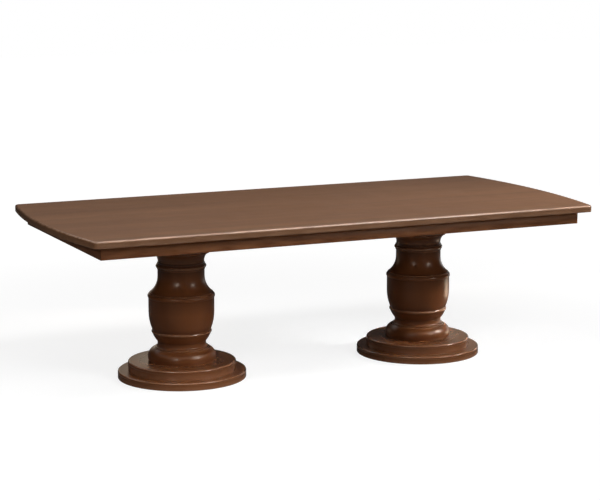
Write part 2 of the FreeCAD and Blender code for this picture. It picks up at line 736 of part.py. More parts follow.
def column(side, x):
    """The turned sections of one pedestal, from the floor up."""
    socket = ("spigot_radius + spigot_clear", "spigot_rise + spigot_clear")
    base_wall = [
        ("base_radius", "0"),
        ("base_radius", "base_thick - base_round"),
        ("base_radius - base_round", "base_thick", "round", f"base_round * {QUARTER_ROUND}"),
    ]
    base = column_section(f"{side}_base_disc_blank", x, base_z, base_wall, nut_recess, True)
    drills = []
    recess_radius = "pad_radius + pad_recess_clear"
    pocket_radius = f"{glide_insert_radius} + thread_clear"
    for index, (glide_x, glide_y) in enumerate(glide_places(x), start=1):
        mouth = (glide_x, glide_y, base_z)
        ceiling = (glide_x, glide_y, f"{base_z} + pad_recess_depth")
        recess = f"{side}_pad_recess_{index}"
        pocket = f"{side}_glide_pocket_{index}"
        drills.append(cylinder(recess, mouth, "up", recess_radius, "pad_recess_depth"))
        drills.append(cylinder(pocket, ceiling, "up", pocket_radius, glide_insert_length))
    keep(drilled(f"{side}_base_disc", base, drills))

    plinth_wall = [
        ("plinth_radius", "0"),
        ("plinth_radius", "plinth_thick - plinth_round"),
        ("plinth_radius - plinth_round", "plinth_thick", "round", f"plinth_round * {QUARTER_ROUND}"),
    ]
    keep(column_section(f"{side}_plinth_disc", x, plinth_z, plinth_wall, socket, True))

    torus_wall = [
        ("torus_foot_radius", "0"),
        ("torus_top_radius", torus_levels[1], "round", "torus_bulge"),
        ("torus_fillet_radius", torus_levels[1]),
        ("torus_fillet_radius", torus_levels[2]),
    ]
    keep(column_section(f"{side}_torus_ring", x, torus_z, torus_wall, socket, True))

    urn_wall = [
        ("urn_foot_radius", "0"),
        ("lower_neck_radius", urn_levels[1], "hollow", "cove_hollow"),
        ("lower_neck_radius", urn_levels[2]),
        ("cup_radius", urn_levels[3], "round", "cup_bulge"),
        ("cup_radius", urn_levels[4], "round", "lower_bead_proud"),
        ("cup_radius", urn_levels[5]),
        ("urn_radius", urn_levels[6], "round", "belly_bulge"),
        ("urn_radius", urn_levels[7]),
        ("shoulder_radius", urn_levels[8], "round", "shoulder_bead_proud"),
        ("shoulder_radius - shoulder_step", urn_levels[8]),
        ("shoulder_radius - shoulder_step", urn_levels[9]),
    ]
    keep(column_section(f"{side}_urn", x, urn_z, urn_wall, socket, True))

    neck_wall = [
        ("neck_foot_radius", "0"),
        ("neck_foot_radius", neck_levels[1]),
        ("neck_foot_radius - neck_foot_step", neck_levels[1]),
        ("neck_radius", neck_levels[2], "hollow", "flare_hollow"),
        ("neck_radius", neck_levels[3]),
        ("neck_fillet_radius", neck_levels[3]),
        ("neck_fillet_radius", neck_levels[4]),
        ("neck_fillet_radius", neck_levels[5], "round", "neck_bead_proud"),
        ("neck_fillet_radius", neck_levels[6]),
        ("collar_radius", neck_levels[6]),
        ("collar_radius", neck_levels[7]),
    ]
    keep(column_section(f"{side}_neck", x, neck_z, neck_wall, socket, True))

    capital_wall = [
        ("collar_radius", "0"),
        ("cavetto_radius", capital_levels[1], "hollow", "cavetto_hollow"),
        ("capital_fillet_radius", capital_levels[1]),
        ("capital_fillet_radius", capital_levels[2]),
        ("echinus_radius", capital_levels[3], "round", "echinus_bulge"),
        ("abacus_radius", capital_levels[3]),
        ("abacus_radius", capital_levels[4]),
    ]
    capital = column_section(f"{side}_capital_blank", x, capital_z, capital_wall, socket, False)
    drills = []
    capital_pilot_depth = "plate_screw_bite + pilot_room"
    for index, sign in enumerate(BOTH_SIGNS, start=1):
        at = (x, f"{sign}{plate_screw_y}", plate_z)
        pilot = f"{side}_capital_pilot_{index}"
        drills.append(cylinder(pilot, at, "down", pilot_radius, capital_pilot_depth))
    keep(drilled(f"{side}_capital", capital, drills))


def mounting(side, x):
    """The plate on one column, the rod that ties the column together, and what holds the plate."""
    low = (f"{x} - {plate_half}", f"-{plate_half}", plate_z)
    high = (f"{x} + {plate_half}", plate_half, bearer_z)
    blank = box(f"{side}_plate_blank", low, high)
    bolts = []
    for x_sign in BOTH_SIGNS:
        bolts += [(f"{x} {x_sign} {bearer_offset}", f"{y_sign}{bolt_y}") for y_sign in BOTH_SIGNS]
    screws = [(x, f"{sign}{plate_screw_y}") for sign in BOTH_SIGNS]
    ways = [("rod", "rod_radius + rod_clear", [(x, "0")])]
    ways.append(("bolt", "bolt_radius + bolt_clear", bolts))
    ways.append(("screw", "screw_radius + screw_clear", screws))
    drills = []
    for name, radius, places in ways:
        for index, at in enumerate(places, start=1):
            label = f"{side}_plate_{name}_way_{index}"
            drills.append(cylinder(label, (*at, plate_z), "up", radius, "plate_thick"))
    keep(drilled(f"{side}_mounting_plate", blank, drills))

    recess_z = f"{base_z} + {nut_recess[1]}"
    nut_stack = "washer_thick + nut_height"
    rod_foot = f"{recess_z} - ({nut_stack}) - rod_tail"
    rod_head = f"{bearer_z} + {nut_stack} + rod_tail"
    rod = cylinder(f"{side}_tie_rod", (x, "0", rod_foot), "up", "rod_radius", f"{rod_head} - ({rod_foot})")
    keep(rod)
    nut_places = [(x, "0", f"{recess_z} - ({nut_stack})"), (x, "0", f"{bearer_z} + washer_thick")]
    group(f"{side}_tie_nuts", nut_pattern, [(at, UPRIGHT) for at in nut_places])
    washer_places = [(x, "0", f"{recess_z} - washer_thick"), (x, "0", bearer_z)]
    group(f"{side}_tie_washers", washer_pattern, [(at, UPRIGHT) for at in washer_places])

    bolt_z = f"{plate_z} - bolt_head_height"
    group(f"{side}_plate_bolts", bolt_pattern, [((*at, bolt_z), UPRIGHT) for at in bolts])
    group(f"{side}_bearer_inserts", bearer_insert_pattern, [((*at, bearer_z), UPRIGHT) for at in bolts])
    head_z = f"{bearer_z} + screw_head_height"
    group(f"{side}_plate_screws", plate_screw_pattern, [((*at, head_z), DIRECTIONS["down"]) for at in screws])


def glides(side, x):
    """Four levelling glides under one base disc: inserts in the disc, and stems that bear on pads."""
    ceiling = f"{base_z} + pad_recess_depth"
    pad_top = f"{ceiling} - pad_stop_gap"
    seat = f"{pad_top} - pad_socket_depth"
    socket = "stem_radius + stem_clear"
    stem_foot = f"{seat} + stem_end_gap"
    stem_head = f"{ceiling} + {glide_insert_length} - stem_top_gap"
    places = glide_places(x)
    group(f"{side}_glide_inserts", glide_insert_pattern, [((*at, ceiling), UPRIGHT) for at in places])
    pad_outline = [
        ("0", "0"),
        ("pad_radius - pad_edge_round", "0"),
        ("pad_radius", "pad_edge_round", "round", f"pad_edge_round * {QUARTER_ROUND}"),
        ("pad_radius", pad_top),
        (socket, pad_top),
        (socket, seat),
        ("0", seat),
    ]
    for index, (pad_x, pad_y) in enumerate(places, start=1):
        keep(lathe(f"{side}_glide_pad_{index}", pad_x, pad_y, "0", pad_outline))
        at = (pad_x, pad_y, stem_foot)
        length = f"{stem_head} - ({stem_foot})"
        keep(cylinder(f"{side}_glide_stem_{index}", at, "up", "stem_radius", length))


table_top()
apron()
corner_blocks()
apron_clips()
framing()
for side, x in pedestal_x.items():
    column(side, x)
    mounting(side, x)
    glides(side, x)
doc.recompute()

for item in doc.Objects:
    if "Invalid" in item.State or "Error" in item.State:
        raise RuntimeError(f"{item.Label} failed: {item.State}")
for node in nodes:
    if node.Shape.isNull() or not node.Shape.isValid():
        raise RuntimeError(f"{node.Label} has no sound shape")

os.makedirs("parts", exist_ok=True)
for node in nodes:
    node.Shape.exportStep(f"parts/{node.Label}.step")
print(f"{len(nodes)} nodes")
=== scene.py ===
"""Looks of a double pedestal dining table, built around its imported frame.

Lengths are in metres, in the frame's own axes: +X along the table, +Y to its back, +Z up from the floor.
"""

import json
import logging
import math
from abc import ABC, abstractmethod
from dataclasses import dataclass, replace
from enum import Enum
from functools import reduce
from itertools import accumulate
from typing import ClassVar, Optional, Union

import bmesh
import bpy
from mathutils import Matrix, Vector


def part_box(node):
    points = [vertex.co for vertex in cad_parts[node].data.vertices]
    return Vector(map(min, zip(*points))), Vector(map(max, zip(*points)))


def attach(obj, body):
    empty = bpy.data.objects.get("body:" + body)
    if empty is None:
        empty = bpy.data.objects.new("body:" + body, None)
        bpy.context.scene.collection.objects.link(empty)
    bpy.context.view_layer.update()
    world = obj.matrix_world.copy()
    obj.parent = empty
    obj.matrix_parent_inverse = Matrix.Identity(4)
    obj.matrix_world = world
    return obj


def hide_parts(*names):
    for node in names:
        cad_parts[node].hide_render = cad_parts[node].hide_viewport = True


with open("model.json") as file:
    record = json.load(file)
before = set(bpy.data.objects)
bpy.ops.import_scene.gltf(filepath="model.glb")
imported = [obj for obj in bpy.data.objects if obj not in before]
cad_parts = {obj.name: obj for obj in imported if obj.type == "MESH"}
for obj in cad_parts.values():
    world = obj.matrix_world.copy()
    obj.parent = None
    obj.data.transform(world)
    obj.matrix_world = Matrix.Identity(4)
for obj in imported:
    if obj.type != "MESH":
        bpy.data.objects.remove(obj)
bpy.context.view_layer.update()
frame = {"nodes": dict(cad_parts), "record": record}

log = logging.getLogger("table")

Socket = bpy.types.NodeSocket
Piece = bpy.types.Object
Shape = bmesh.types.BMesh
Number = Union[float, Socket]
Inputs = dict[Union[str, int], object]
Point2 = tuple[float, float]
Rgba = tuple[float, float, float, float]

TABLE_BODY = "table"
# Mesh attribute for the rubbed arrises. Their pale colour is partly real rubbing and partly a painted
# highlight.
WEAR_AND_HIGHLIGHT = "edge_wear"
POOL = "stain_pool"
QUARTER_TURN = math.pi / 2
FULL_TURN = 2 * math.pi
MILLIMETRES = 1000
# Boards of this size show no glue line on the pieces that are made of them.
WHOLE_BOARD = 0.5


def turns(start: float, finish: float, steps: int) -> list[float]:
    """Evenly spaced angles from one to another, with both ends."""
    return [start + (finish - start) * step / steps for step in range(steps + 1)]


class GrainAxis(Enum):
    """Which way the fibres of a piece run, as the order of (along, across, deep) among X, Y and Z."""

    LENGTHWISE = (0, 1, 2)
    CROSSWISE = (1, 0, 2)
    UPRIGHT = (2, 0, 1)


class Side(Enum):
    """The two pedestals, by the end of the table that they stand at."""

    LEFT = "left"
    RIGHT = "right"


@dataclass(frozen=True)
class Colour:
    """A colour as it is seen on screen, from 0 to 255 in each channel."""

    red: int
    green: int
    blue: int

    def linear(self) -> Rgba:
        """The colour as the shaders take it, in linear light with full opacity."""
        return (*(self._linear(level / 255) for level in (self.red, self.green, self.blue)), 1.0)

    @staticmethod
    def _linear(level: float) -> float:
        """One screen level from 0 to 1 in linear light, by the sRGB curve."""
        return level / 12.92 if level <= 0.04045 else ((level + 0.055) / 1.055) ** 2.4

    @staticmethod
    def grey(level: float) -> Rgba:
        """A grey of one level in linear light, with full opacity."""
        return (level, level, level, 1.0)


class Graph:
    """The node tree of one material or world, with short ways to add and join its nodes."""

    def __init__(self, tree: bpy.types.NodeTree) -> None:
        """Takes over a node tree and empties it."""
        self.tree = tree
        tree.nodes.clear()

    def add(self, kind: str, inputs: Optional[Inputs] = None, **settings: object) -> bpy.types.Node:
        """Adds a node.

        Args:
            kind: The node's type name, without the leading "ShaderNode".
            inputs: For its inputs, by name or index, the sockets to link or plain values.
            settings: Properties of the node and their values.

        Returns:
            The new node.
        """
        node = self.tree.nodes.new("ShaderNode" + kind)
        for name, value in settings.items():
            setattr(node, name, value)
        for socket, value in (inputs or {}).items():
            if isinstance(value, Socket):
                self.tree.links.new(value, node.inputs[socket])
            else:
                node.inputs[socket].default_value = value
        return node

    def place(self) -> Socket:
        """Where a point lies in its object's own axes."""
        return self.add("TexCoord").outputs["Object"]

    def math(self, operation: str, first: Number, second: Number = 0.0) -> Socket:
        """Joins one or two numbers with a Math node of the operation given."""
        return self.add("Math", {0: first, 1: second}, operation=operation).outputs[0]

    def times(self, first: Number, second: Number) -> Socket:
        """The product of two numbers."""
        return self.math("MULTIPLY", first, second)

    def total(self, *numbers: Number) -> Number:
        """The sum of several numbers."""
        return reduce(lambda first, second: self.math("ADD", first, second), numbers)

    def centred(self, value: Socket, amount: float) -> Socket:
        """A value from 0 to 1 turned into one that swings by an amount about zero."""
        return self.times(self.math("SUBTRACT", value, 0.5), amount)

    def vector(self, x: Number, y: Number, z: Number) -> Socket:
        """A vector made of three numbers."""
        return self.add("CombineXYZ", {0: x, 1: y, 2: z}).outputs[0]

    def noise(self, place: Socket, scale: float, detail: float) -> Socket:
        """Smooth noise from 0 to 1, with so many lumps to one unit of place and so many finer layers."""
        inputs = {"Vector": place, "Scale": scale, "Detail": detail}
        return self.add("TexNoise", inputs, noise_dimensions="3D").outputs["Fac"]

    def step(self, value: Number, low: float, high: float) -> Socket:
        """A smooth step from 0 at one level to 1 at another."""
        inputs = {"Value": value, "From Min": low, "From Max": high}
        return self.add("MapRange", inputs, interpolation_type="SMOOTHSTEP").outputs[0]

    def ramp(self, value: Number, colours: list[Colour]) -> Socket:
        """Picks a colour from evenly spaced ones.

        Args:
            value: Where on the ramp to read, from 0 to 1.
            colours: The ramp's colours in order.

        Returns:
            The colour's socket.
        """
        node = self.add("ValToRGB", {"Fac": value})
        stops = node.color_ramp.elements
        while len(stops) < len(colours):
            stops.new(0.5)
        for index, colour in enumerate(colours):
            stops[index].position = index / (len(colours) - 1)
            stops[index].color = colour.linear()
        return node.outputs["Color"]

    def blend(self, share: Number, under: object, over: object) -> Socket:
        """Lays a share of one colour over another, by the Mix node's colour sockets."""
        return self.add("Mix", {0: share, 6: under, 7: over}, data_type="RGBA").outputs[2]

    def attribute(self, name: str) -> Socket:
        """A number that the mesh carries at each point, which is zero where the mesh has none."""
        return self.add("Attribute", attribute_name=name).outputs["Fac"]

    def bump(self, height: Number, strength: float, depth: float) -> Socket:
        """The normal of a surface with a fine relief."""
        inputs = {"Height": height, "Strength": strength, "Distance": depth}
        return self.add("Bump", inputs).outputs["Normal"]

    def seen(self, mirror_share: float = 1.0) -> Socket:
        """How much of the background a ray shows.

        Args:
            mirror_share: The share that shows in reflections.

        Returns:
            One for a camera or glass ray, the share for a mirror ray, and zero for any other.
        """
        path = self.add("LightPath").outputs
        mirrored = self.times(path["Is Glossy Ray"], mirror_share)
        shown = self.math("MAXIMUM", path["Is Camera Ray"], mirrored)
        return self.math("MAXIMUM", shown, path["Is Transmission Ray"])


@dataclass(frozen=True)
class Lumber:
    """How the stock of a piece is glued up: the way its grain runs and the size of its boards."""

    axis: GrainAxis = GrainAxis.LENGTHWISE
    board_width: float = WHOLE_BOARD
    board_thick: float = WHOLE_BOARD


@dataclass(frozen=True)
class Figure:
    """Marks in wood: how many there are to the metre along and across the grain, and their finer layers."""

    along: float
    across: float
    detail: float


class Stock:
    """Glued-up wood in a node tree: where each point lies in its board, and the board's figure."""

    DICE_ROW = 0.5
    BOARD_SHIFT = 9.0
    PITH_SPREAD = 0.16
    PITH_DEPTH = 0.05
    RING_WAVES = Figure(1.1, 7.0, 2.0)
    RING_WARP = 0.022
    RING_EDGE = 2.2
    FIBRES = Figure(8.0, 520.0, 3.0)
    STREAKS = Figure(0.7, 11.0, 3.0)
    PORES = Figure(42.0, 1300.0, 1.0)
    PORE_LEVELS = (0.60, 0.72)
    SCUFFS = Figure(9.0, 60.0, 3.0)
    SCUFF_LEVELS = (0.30, 0.66)
    GLUE_LEVELS = (0.0001, 0.0002)

    def __init__(self, graph: Graph, lumber: Lumber) -> None:
        """Cuts space into boards.

        Args:
            graph: The tree to draw in.
            lumber: The grain's direction and the boards' size.
        """
        self.graph = graph
        self.lumber = lumber
        split = graph.add("SeparateXYZ", {0: graph.place()}).outputs
        self.along, self.across, self.deep = (split[index] for index in lumber.axis.value)
        board, self.across_in = self._board(self.across, lumber.board_width)
        layer, self.deep_in = self._board(self.deep, lumber.board_thick)
        seed = graph.vector(board, layer, self.DICE_ROW)
        dice = graph.add("TexWhiteNoise", {"Vector": seed}, noise_dimensions="3D").outputs
        self.tint = dice["Value"]
        self.rolls = graph.add("SeparateColor", {0: dice["Color"]}).outputs
        self.shifted = graph.total(self.along, graph.times(self.rolls[2], self.BOARD_SHIFT))
        self.fibres = self.marks(self.FIBRES)
        self.pores = graph.step(self.marks(self.PORES), *self.PORE_LEVELS)

    def _board(self, place: Socket, width: float) -> tuple[Socket, Socket]:
        """The number of the board at a place, and the place measured from that board's middle."""
        number = self.graph.math("ROUND", self.graph.math("DIVIDE", place, width))
        return number, self.graph.math("SUBTRACT", place, self.graph.times(number, width))

    def marks(self, figure: Figure) -> Socket:
        """Draws noise that is long in the grain's direction.

        Args:
            figure: The size of the marks.

        Returns:
            The noise, from 0 to 1.
        """
        along = self.graph.times(self.shifted, figure.along)
        sides = (self.graph.times(place, figure.across) for place in (self.across, self.deep))
        return self.graph.noise(self.graph.vector(along, *sides), 1.0, figure.detail)

    def rings(self, gap: float) -> Socket:
        """Draws growth rings about a pith, which lies in another place in each board.

        Args:
            gap: The space between two rings.

        Returns:
            A rise from 0 to 1 over each ring.
        """
        graph = self.graph
        warp = graph.centred(self.marks(self.RING_WAVES), self.RING_WARP)
        across = graph.total(self.across_in, graph.centred(self.rolls[0], self.PITH_SPREAD))
        deep = graph.total(self.deep_in, graph.centred(self.rolls[1], self.PITH_SPREAD), self.PITH_DEPTH)
        squares = graph.total(graph.times(across, across), graph.times(deep, deep))
        radius = graph.total(graph.math("SQRT", squares), warp)
        return graph.math("POWER", graph.math("FRACT", graph.math("DIVIDE", radius, gap)), self.RING_EDGE)

    def glue(self) -> Socket:
        """Draws the glue lines.

        Returns:
            One on a line between two boards, and zero elsewhere.
        """
        reach = self.graph.math("ABSOLUTE", self.across_in)
        margin = self.graph.math("SUBTRACT", self.lumber.board_width / 2, reach)
        return self.graph.math("SUBTRACT", 1.0, self.graph.step(margin, *self.GLUE_LEVELS))


@dataclass(frozen=True)
class Finish(ABC):
    """A finish, drawn once as a material and then found again by its label."""

    name: str

    @property
    def label(self) -> str:
        """The material's name."""
        return self.name

    @abstractmethod
    def draw(self, graph: Graph) -> Socket:
        """Draws the surface in a node tree and gives its shader's socket."""

    def on(self, lumber: Lumber) -> "Finish":
        """The finish on stock of one kind, which makes no difference where no grain shows."""
        return self

    def material(self) -> bpy.types.Material:
        """Makes the material, or finds it where it is made already.

        Returns:
            The material.
        """
        found = bpy.data.materials.get(self.label)
        if found:
            return found
        made = bpy.data.materials.new(self.label)
        made.use_nodes = True
        graph = Graph(made.node_tree)
        graph.add("OutputMaterial", {"Surface": self.draw(graph)})
        return made


@dataclass(frozen=True)
class WoodFinish(Finish):
    """Stained or bare wood: growth rings, fibres, pores, glue lines, pale rubbed edges that are partly real
    rubbing and partly a painted highlight, and a lacquer's gloss.
    """

    dark: Colour
    middle: Colour
    pale: Colour
    # The pale colour laid on arrises: partly real rubbing, partly a painted highlight.
    worn_and_highlit: Colour
    lacquer: Colour
    roughness: float
    gloss: float
    ring_gap: float = 0.0055
    ring_share: float = 0.20
    fibre_share: float = 0.34
    streak_share: float = 0.42
    board_share: float = 0.12
    pore_share: float = 0.16
    wear_and_highlight_share: float = 0.55
    pool_share: float = 0.45
    polish: float = 0.08
    bump: float = 0.10
    fibre_gloss: float = 0.10
    smudge_gloss: float = 0.12
    scuff_share: float = 1.0
    edge_coat: float = 0.0
    lumber: Lumber = Lumber()

    MEAN_TONE: ClassVar[float] = 0.62
    GLUE_SHADE: ClassVar[float] = 0.30
    SMUDGE_SCALE: ClassVar[float] = 6.0
    SMUDGE_DETAIL: ClassVar[float] = 3.0
    PORE_DEPTH: ClassVar[float] = 0.8
    BUMP_DEPTH: ClassVar[float] = 0.0004
    REFRACTION: ClassVar[float] = 1.5
    COAT_ROUGHNESS: ClassVar[float] = 0.22

    @property
    def label(self) -> str:
        """The material's name, with the way the grain runs and the boards' width."""
        return f"{self.name}_{self.lumber.axis.name.lower()}_{round(self.lumber.board_width * MILLIMETRES)}"

    def on(self, lumber: Lumber) -> "WoodFinish":
        """The finish on stock of one kind."""
        return replace(self, lumber=lumber)

    def draw(self, graph: Graph) -> Socket:
        """Draws the wood and its lacquer.

        Args:
            graph: The tree to fill.

        Returns:
            The shader's socket.
        """
        stock = Stock(graph, self.lumber)
        arris = graph.attribute(WEAR_AND_HIGHLIGHT)
        place = graph.vector(stock.along, stock.across, stock.deep)
        smudges = graph.noise(place, self.SMUDGE_SCALE, self.SMUDGE_DETAIL)
        roughness = graph.total(
            self.roughness,
            graph.centred(stock.fibres, self.fibre_gloss),
            graph.centred(smudges, self.smudge_gloss),
            graph.times(arris, -self.polish),
        )
        relief = graph.total(stock.fibres, graph.times(stock.pores, -self.PORE_DEPTH))
        inputs: Inputs = {
            "IOR": self.REFRACTION,
            "Specular IOR Level": self.gloss,
            "Specular Tint": self.lacquer.linear(),
            "Base Color": self._stain(stock, arris),
            "Roughness": roughness,
            "Normal": graph.bump(relief, self.bump, self.BUMP_DEPTH),
        }
        if self.edge_coat:
            inputs["Coat Roughness"] = self.COAT_ROUGHNESS
            inputs["Coat Weight"] = graph.times(arris, self.edge_coat)
        return graph.add("BsdfPrincipled", inputs).outputs[0]

    def _stain(self, stock: Stock, arris: Socket) -> Socket:
        """Colours the wood, and lays glue lines, pale rubbed edges that are partly a painted highlight, and
        pooled stain over it.

        Args:
            stock: The boards.
            arris: How far a point lies on a rubbed edge that also carries a painted highlight, from 0 to 1.

        Returns:
            The colour's socket.
        """
        graph = stock.graph
        tone = graph.total(
            self.MEAN_TONE,
            graph.times(stock.rings(self.ring_gap), -self.ring_share),
            graph.centred(stock.fibres, self.fibre_share),
            graph.centred(stock.marks(stock.STREAKS), self.streak_share),
            graph.centred(stock.tint, self.board_share),
            graph.times(stock.pores, -self.pore_share),
        )
        colour = graph.ramp(tone, [self.dark, self.middle, self.pale])
        scuffs = graph.step(stock.marks(stock.SCUFFS), *stock.SCUFF_LEVELS)
        kept = graph.total(1.0 - self.scuff_share, graph.times(scuffs, self.scuff_share))
        # Glue lines, then the pale arris colour, which is partly real rubbing and partly a painted
        # highlight, then pooled stain.
        for mark, share, over in (
            (stock.glue(), self.GLUE_SHADE, self.dark),
            (graph.times(arris, kept), self.wear_and_highlight_share, self.worn_and_highlit),
            (graph.attribute(POOL), self.pool_share, self.dark),
        ):
            colour = graph.blend(graph.times(mark, share), colour, over.linear())
        return colour


@dataclass(frozen=True)
class MetalFinish(Finish):
    """Plated or machined metal with fine scratches and a little dulling."""

    bright: Colour
    dull: Colour
    roughness: float
    dulling_scale: float = 90.0
    dulling_detail: float = 4.0
    dulling_gloss: float = 0.2
    scratch_scale: float = 900.0
    scratch_detail: float = 2.0
    scratch_gloss: float = 0.1

    def draw(self, graph: Graph) -> Socket:
        """Draws the metal.

        Args:
            graph: The tree to fill.

        Returns:
            The shader's socket.
        """
        place = graph.place()
        dulling = graph.noise(place, self.dulling_scale, self.dulling_detail)
        scratches = graph.noise(place, self.scratch_scale, self.scratch_detail)
        roughness = graph.total(
            self.roughness,
            graph.centred(dulling, self.dulling_gloss),
            graph.centred(scratches, self.scratch_gloss),
        )
        colour = graph.ramp(dulling, [self.dull, self.bright])
        inputs = {"Metallic": 1.0, "Base Color": colour, "Roughness": roughness}
        return graph.add("BsdfPrincipled", inputs).outputs[0]


@dataclass(frozen=True)
class PlasticFinish(Finish):
    """Moulded plastic with a fine matt texture and scuffs from the floor."""

    body: Colour
    scuffed: Colour
    roughness: float
    scuff_scale: float = 160.0
    scuff_detail: float = 4.0
    scuff_levels: Point2 = (0.45, 0.75)
    scuff_gloss: float = 0.15
    pebble_scale: float = 2500.0
    pebble_detail: float = 1.0
    pebble_strength: float = 0.15
    pebble_depth: float = 0.0002

    def draw(self, graph: Graph) -> Socket:
        """Draws the plastic.

        Args:
            graph: The tree to fill.

        Returns:
            The shader's socket.
        """
        place = graph.place()
        scuffs = graph.step(graph.noise(place, self.scuff_scale, self.scuff_detail), *self.scuff_levels)
        pebble = graph.noise(place, self.pebble_scale, self.pebble_detail)
        inputs = {
            "Base Color": graph.ramp(scuffs, [self.body, self.scuffed]),
            "Roughness": graph.total(self.roughness, graph.centred(scuffs, self.scuff_gloss)),
            "Normal": graph.bump(pebble, self.pebble_strength, self.pebble_depth),
        }
        return graph.add("BsdfPrincipled", inputs).outputs[0]


@dataclass(frozen=True)
class FloorPaper(Finish):
    """Pale paper that reads as white and keeps the table's shadow."""

    shown_grey: float = 0.26
    bounce_grey: float = 0.24
    mirror_grey: float = 0.14
    near_glow: float = 0.84
    mirror_share: float = 0.02
    glow_from: float = 1.6
    glow_to: float = 4.5

    def draw(self, graph: Graph) -> Socket:
        """Draws the paper, whose white grows with the distance from the table.

        Args:
            graph: The tree to fill.

        Returns:
            The shader's socket.
        """
        path = graph.add("LightPath").outputs
        bounced, mirrored = Colour.grey(self.bounce_grey), Colour.grey(self.mirror_grey)
        unseen = graph.blend(path["Is Glossy Ray"], bounced, mirrored)
        colour = graph.blend(path["Is Camera Ray"], unseen, Colour.grey(self.shown_grey))
        reach = graph.add("VectorMath", {0: graph.place()}, operation="LENGTH").outputs["Value"]
        far = graph.step(reach, self.glow_from, self.glow_to)
        glow = graph.total(self.near_glow, graph.times(far, 1.0 - self.near_glow))
        strength = graph.times(glow, graph.seen(self.mirror_share))
        paper = graph.add("BsdfDiffuse", {"Color": colour}).outputs[0]
        white = graph.add("Emission", {"Strength": strength}).outputs[0]
        return graph.add("AddShader", {0: paper, 1: white}).outputs[0]


@dataclass(frozen=True)
class WallFelt(Finish):
    """Dim felt that keeps the lacquer's reflections deep."""

    level: float = 0.06

    def draw(self, graph: Graph) -> Socket:
        """Draws the felt in a node tree and gives its shader's socket."""
        return graph.add("BsdfDiffuse", {"Color": Colour.grey(self.level)}).outputs[0]


class Finishes:
    """Every finish on the table."""

    AMBER = Colour(248, 235, 222)
    # On the top and the turnings the pale arris colour is partly real rubbing and partly a painted highlight
    # along the rounded edges and rims.
    TOP = WoodFinish(
        "top_stain", Colour(68, 42, 26), Colour(100, 67, 43), Colour(127, 89, 60), Colour(166, 128, 102),
        AMBER, roughness=0.44, gloss=0.40, wear_and_highlight_share=0.70, polish=0.12, edge_coat=0.9,
    )
    APRON = WoodFinish(
        "apron_stain", Colour(66, 36, 19), Colour(98, 58, 33), Colour(123, 78, 47), Colour(150, 100, 66),
        AMBER, roughness=0.40, gloss=0.16, ring_share=0.12,
    )
    TURNED = WoodFinish(
        "turned_stain", Colour(68, 35, 16), Colour(106, 60, 31), Colour(130, 79, 45), Colour(168, 120, 88),
        AMBER, roughness=0.30, gloss=0.42, ring_share=0.03, fibre_share=0.12,
        streak_share=0.16, board_share=0.04, pore_share=0.06, polish=0.12, bump=0.05,
        wear_and_highlight_share=0.45, scuff_share=0.25, edge_coat=0.5, fibre_gloss=0.02, smudge_gloss=0.06,
    )
    FRAMING = WoodFinish(
        "bare_hardwood", Colour(140, 108, 74), Colour(176, 142, 102), Colour(200, 170, 130),
        Colour(206, 178, 140), Colour(255, 255, 255), roughness=0.62, gloss=0.25, ring_gap=0.004,
    )
    STEEL = MetalFinish("zinc_plate", Colour(178, 180, 182), Colour(130, 133, 136), 0.38)
    BRASS = MetalFinish("plain_brass", Colour(196, 160, 92), Colour(150, 116, 62), 0.34)
    PAD = PlasticFinish("glide_plastic", Colour(30, 27, 25), Colour(58, 54, 50), 0.55)


class Maker:
    """Turns built meshes into pieces of the table or of the set."""

    SHADING_WEIGHT = 50

    @staticmethod
    def piece(name: str, shape: Shape, node: str, finish: Finish) -> Piece:
        """Makes a piece that stands for a frame node and rides with the table.

        Args:
            name: The piece's name.
            shape: Its mesh, which is used up.
            node: The frame node that it stands for.
            finish: Its finish.

        Returns:
            The piece.
        """
        bmesh.ops.recalc_face_normals(shape, faces=shape.faces)
        made = Maker.shown(name, shape, finish)
        faces = made.data.polygons
        faces.foreach_set("use_smooth", [True] * len(faces))
        shading = made.modifiers.new("even_shading", "WEIGHTED_NORMAL")
        shading.weight = Maker.SHADING_WEIGHT
        shading.keep_sharp = True
        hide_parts(node)
        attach(made, TABLE_BODY)
        Maker.slot_of(node)
        log.info("%s stands for %s, %d faces", name, node, len(faces))
        return made

    @staticmethod
    def shown(name: str, shape: Shape, finish: Finish) -> Piece:
        """Puts a mesh into the scene.

        Args:
            name: The name of the mesh and of its object.
            shape: The mesh, which is used up.
            finish: Its finish.

        Returns:
            The object.
        """
        mesh = bpy.data.meshes.new(name)
        shape.to_mesh(mesh)
        shape.free()
        mesh.materials.append(finish.material())
        made = bpy.data.objects.new(name, mesh)
        bpy.context.scene.collection.objects.link(made)
        return made

    @staticmethod
    def slot_of(node: str) -> str:
        """The record's material slot of a frame node."""
        rows = frame["record"]["subparts"]
        return next(row["material_slot"] for row in rows if row["node"] == node)

    @staticmethod
    def layers(shape: Shape) -> tuple[object, object]:
        """New layers in a mesh for its rubbed edges, which also carry a painted highlight, and its pooled
        stain.
        """
        floats = shape.verts.layers.float
        return floats.new(WEAR_AND_HIGHLIGHT), floats.new(POOL)

    @staticmethod
    def loft(shape: Shape, loops: list[list[bmesh.types.BMVert]]) -> None:
        """Makes a closed body through loops of as many points each.

        Args:
            shape: The mesh that holds the points.
            loops: The loops from the lowest to the highest.
        """
        for lower, upper in zip(loops, loops[1:]):
            for index in range(len(lower)):
                ahead = (index + 1) % len(lower)
                shape.faces.new((lower[index], lower[ahead], upper[ahead], upper[index]))
        shape.faces.new(list(reversed(loops[0])))
        shape.faces.new(loops[-1])


@dataclass(frozen=True)
class Run:
    """A run of a turned outline: the radius where it ends, its climb, and how far it swells or hollows."""

    radius: float
    rise: float = 0.0
    swell: float = 0.0


@dataclass(frozen=True)
class Spot:
    """A point of a finished outline, with its share of rubbed edge and painted highlight, and of pooled
    stain.
    """

    radius: float
    height: float
    wear_and_highlight: float = 0.0
    pool: float = 0.0


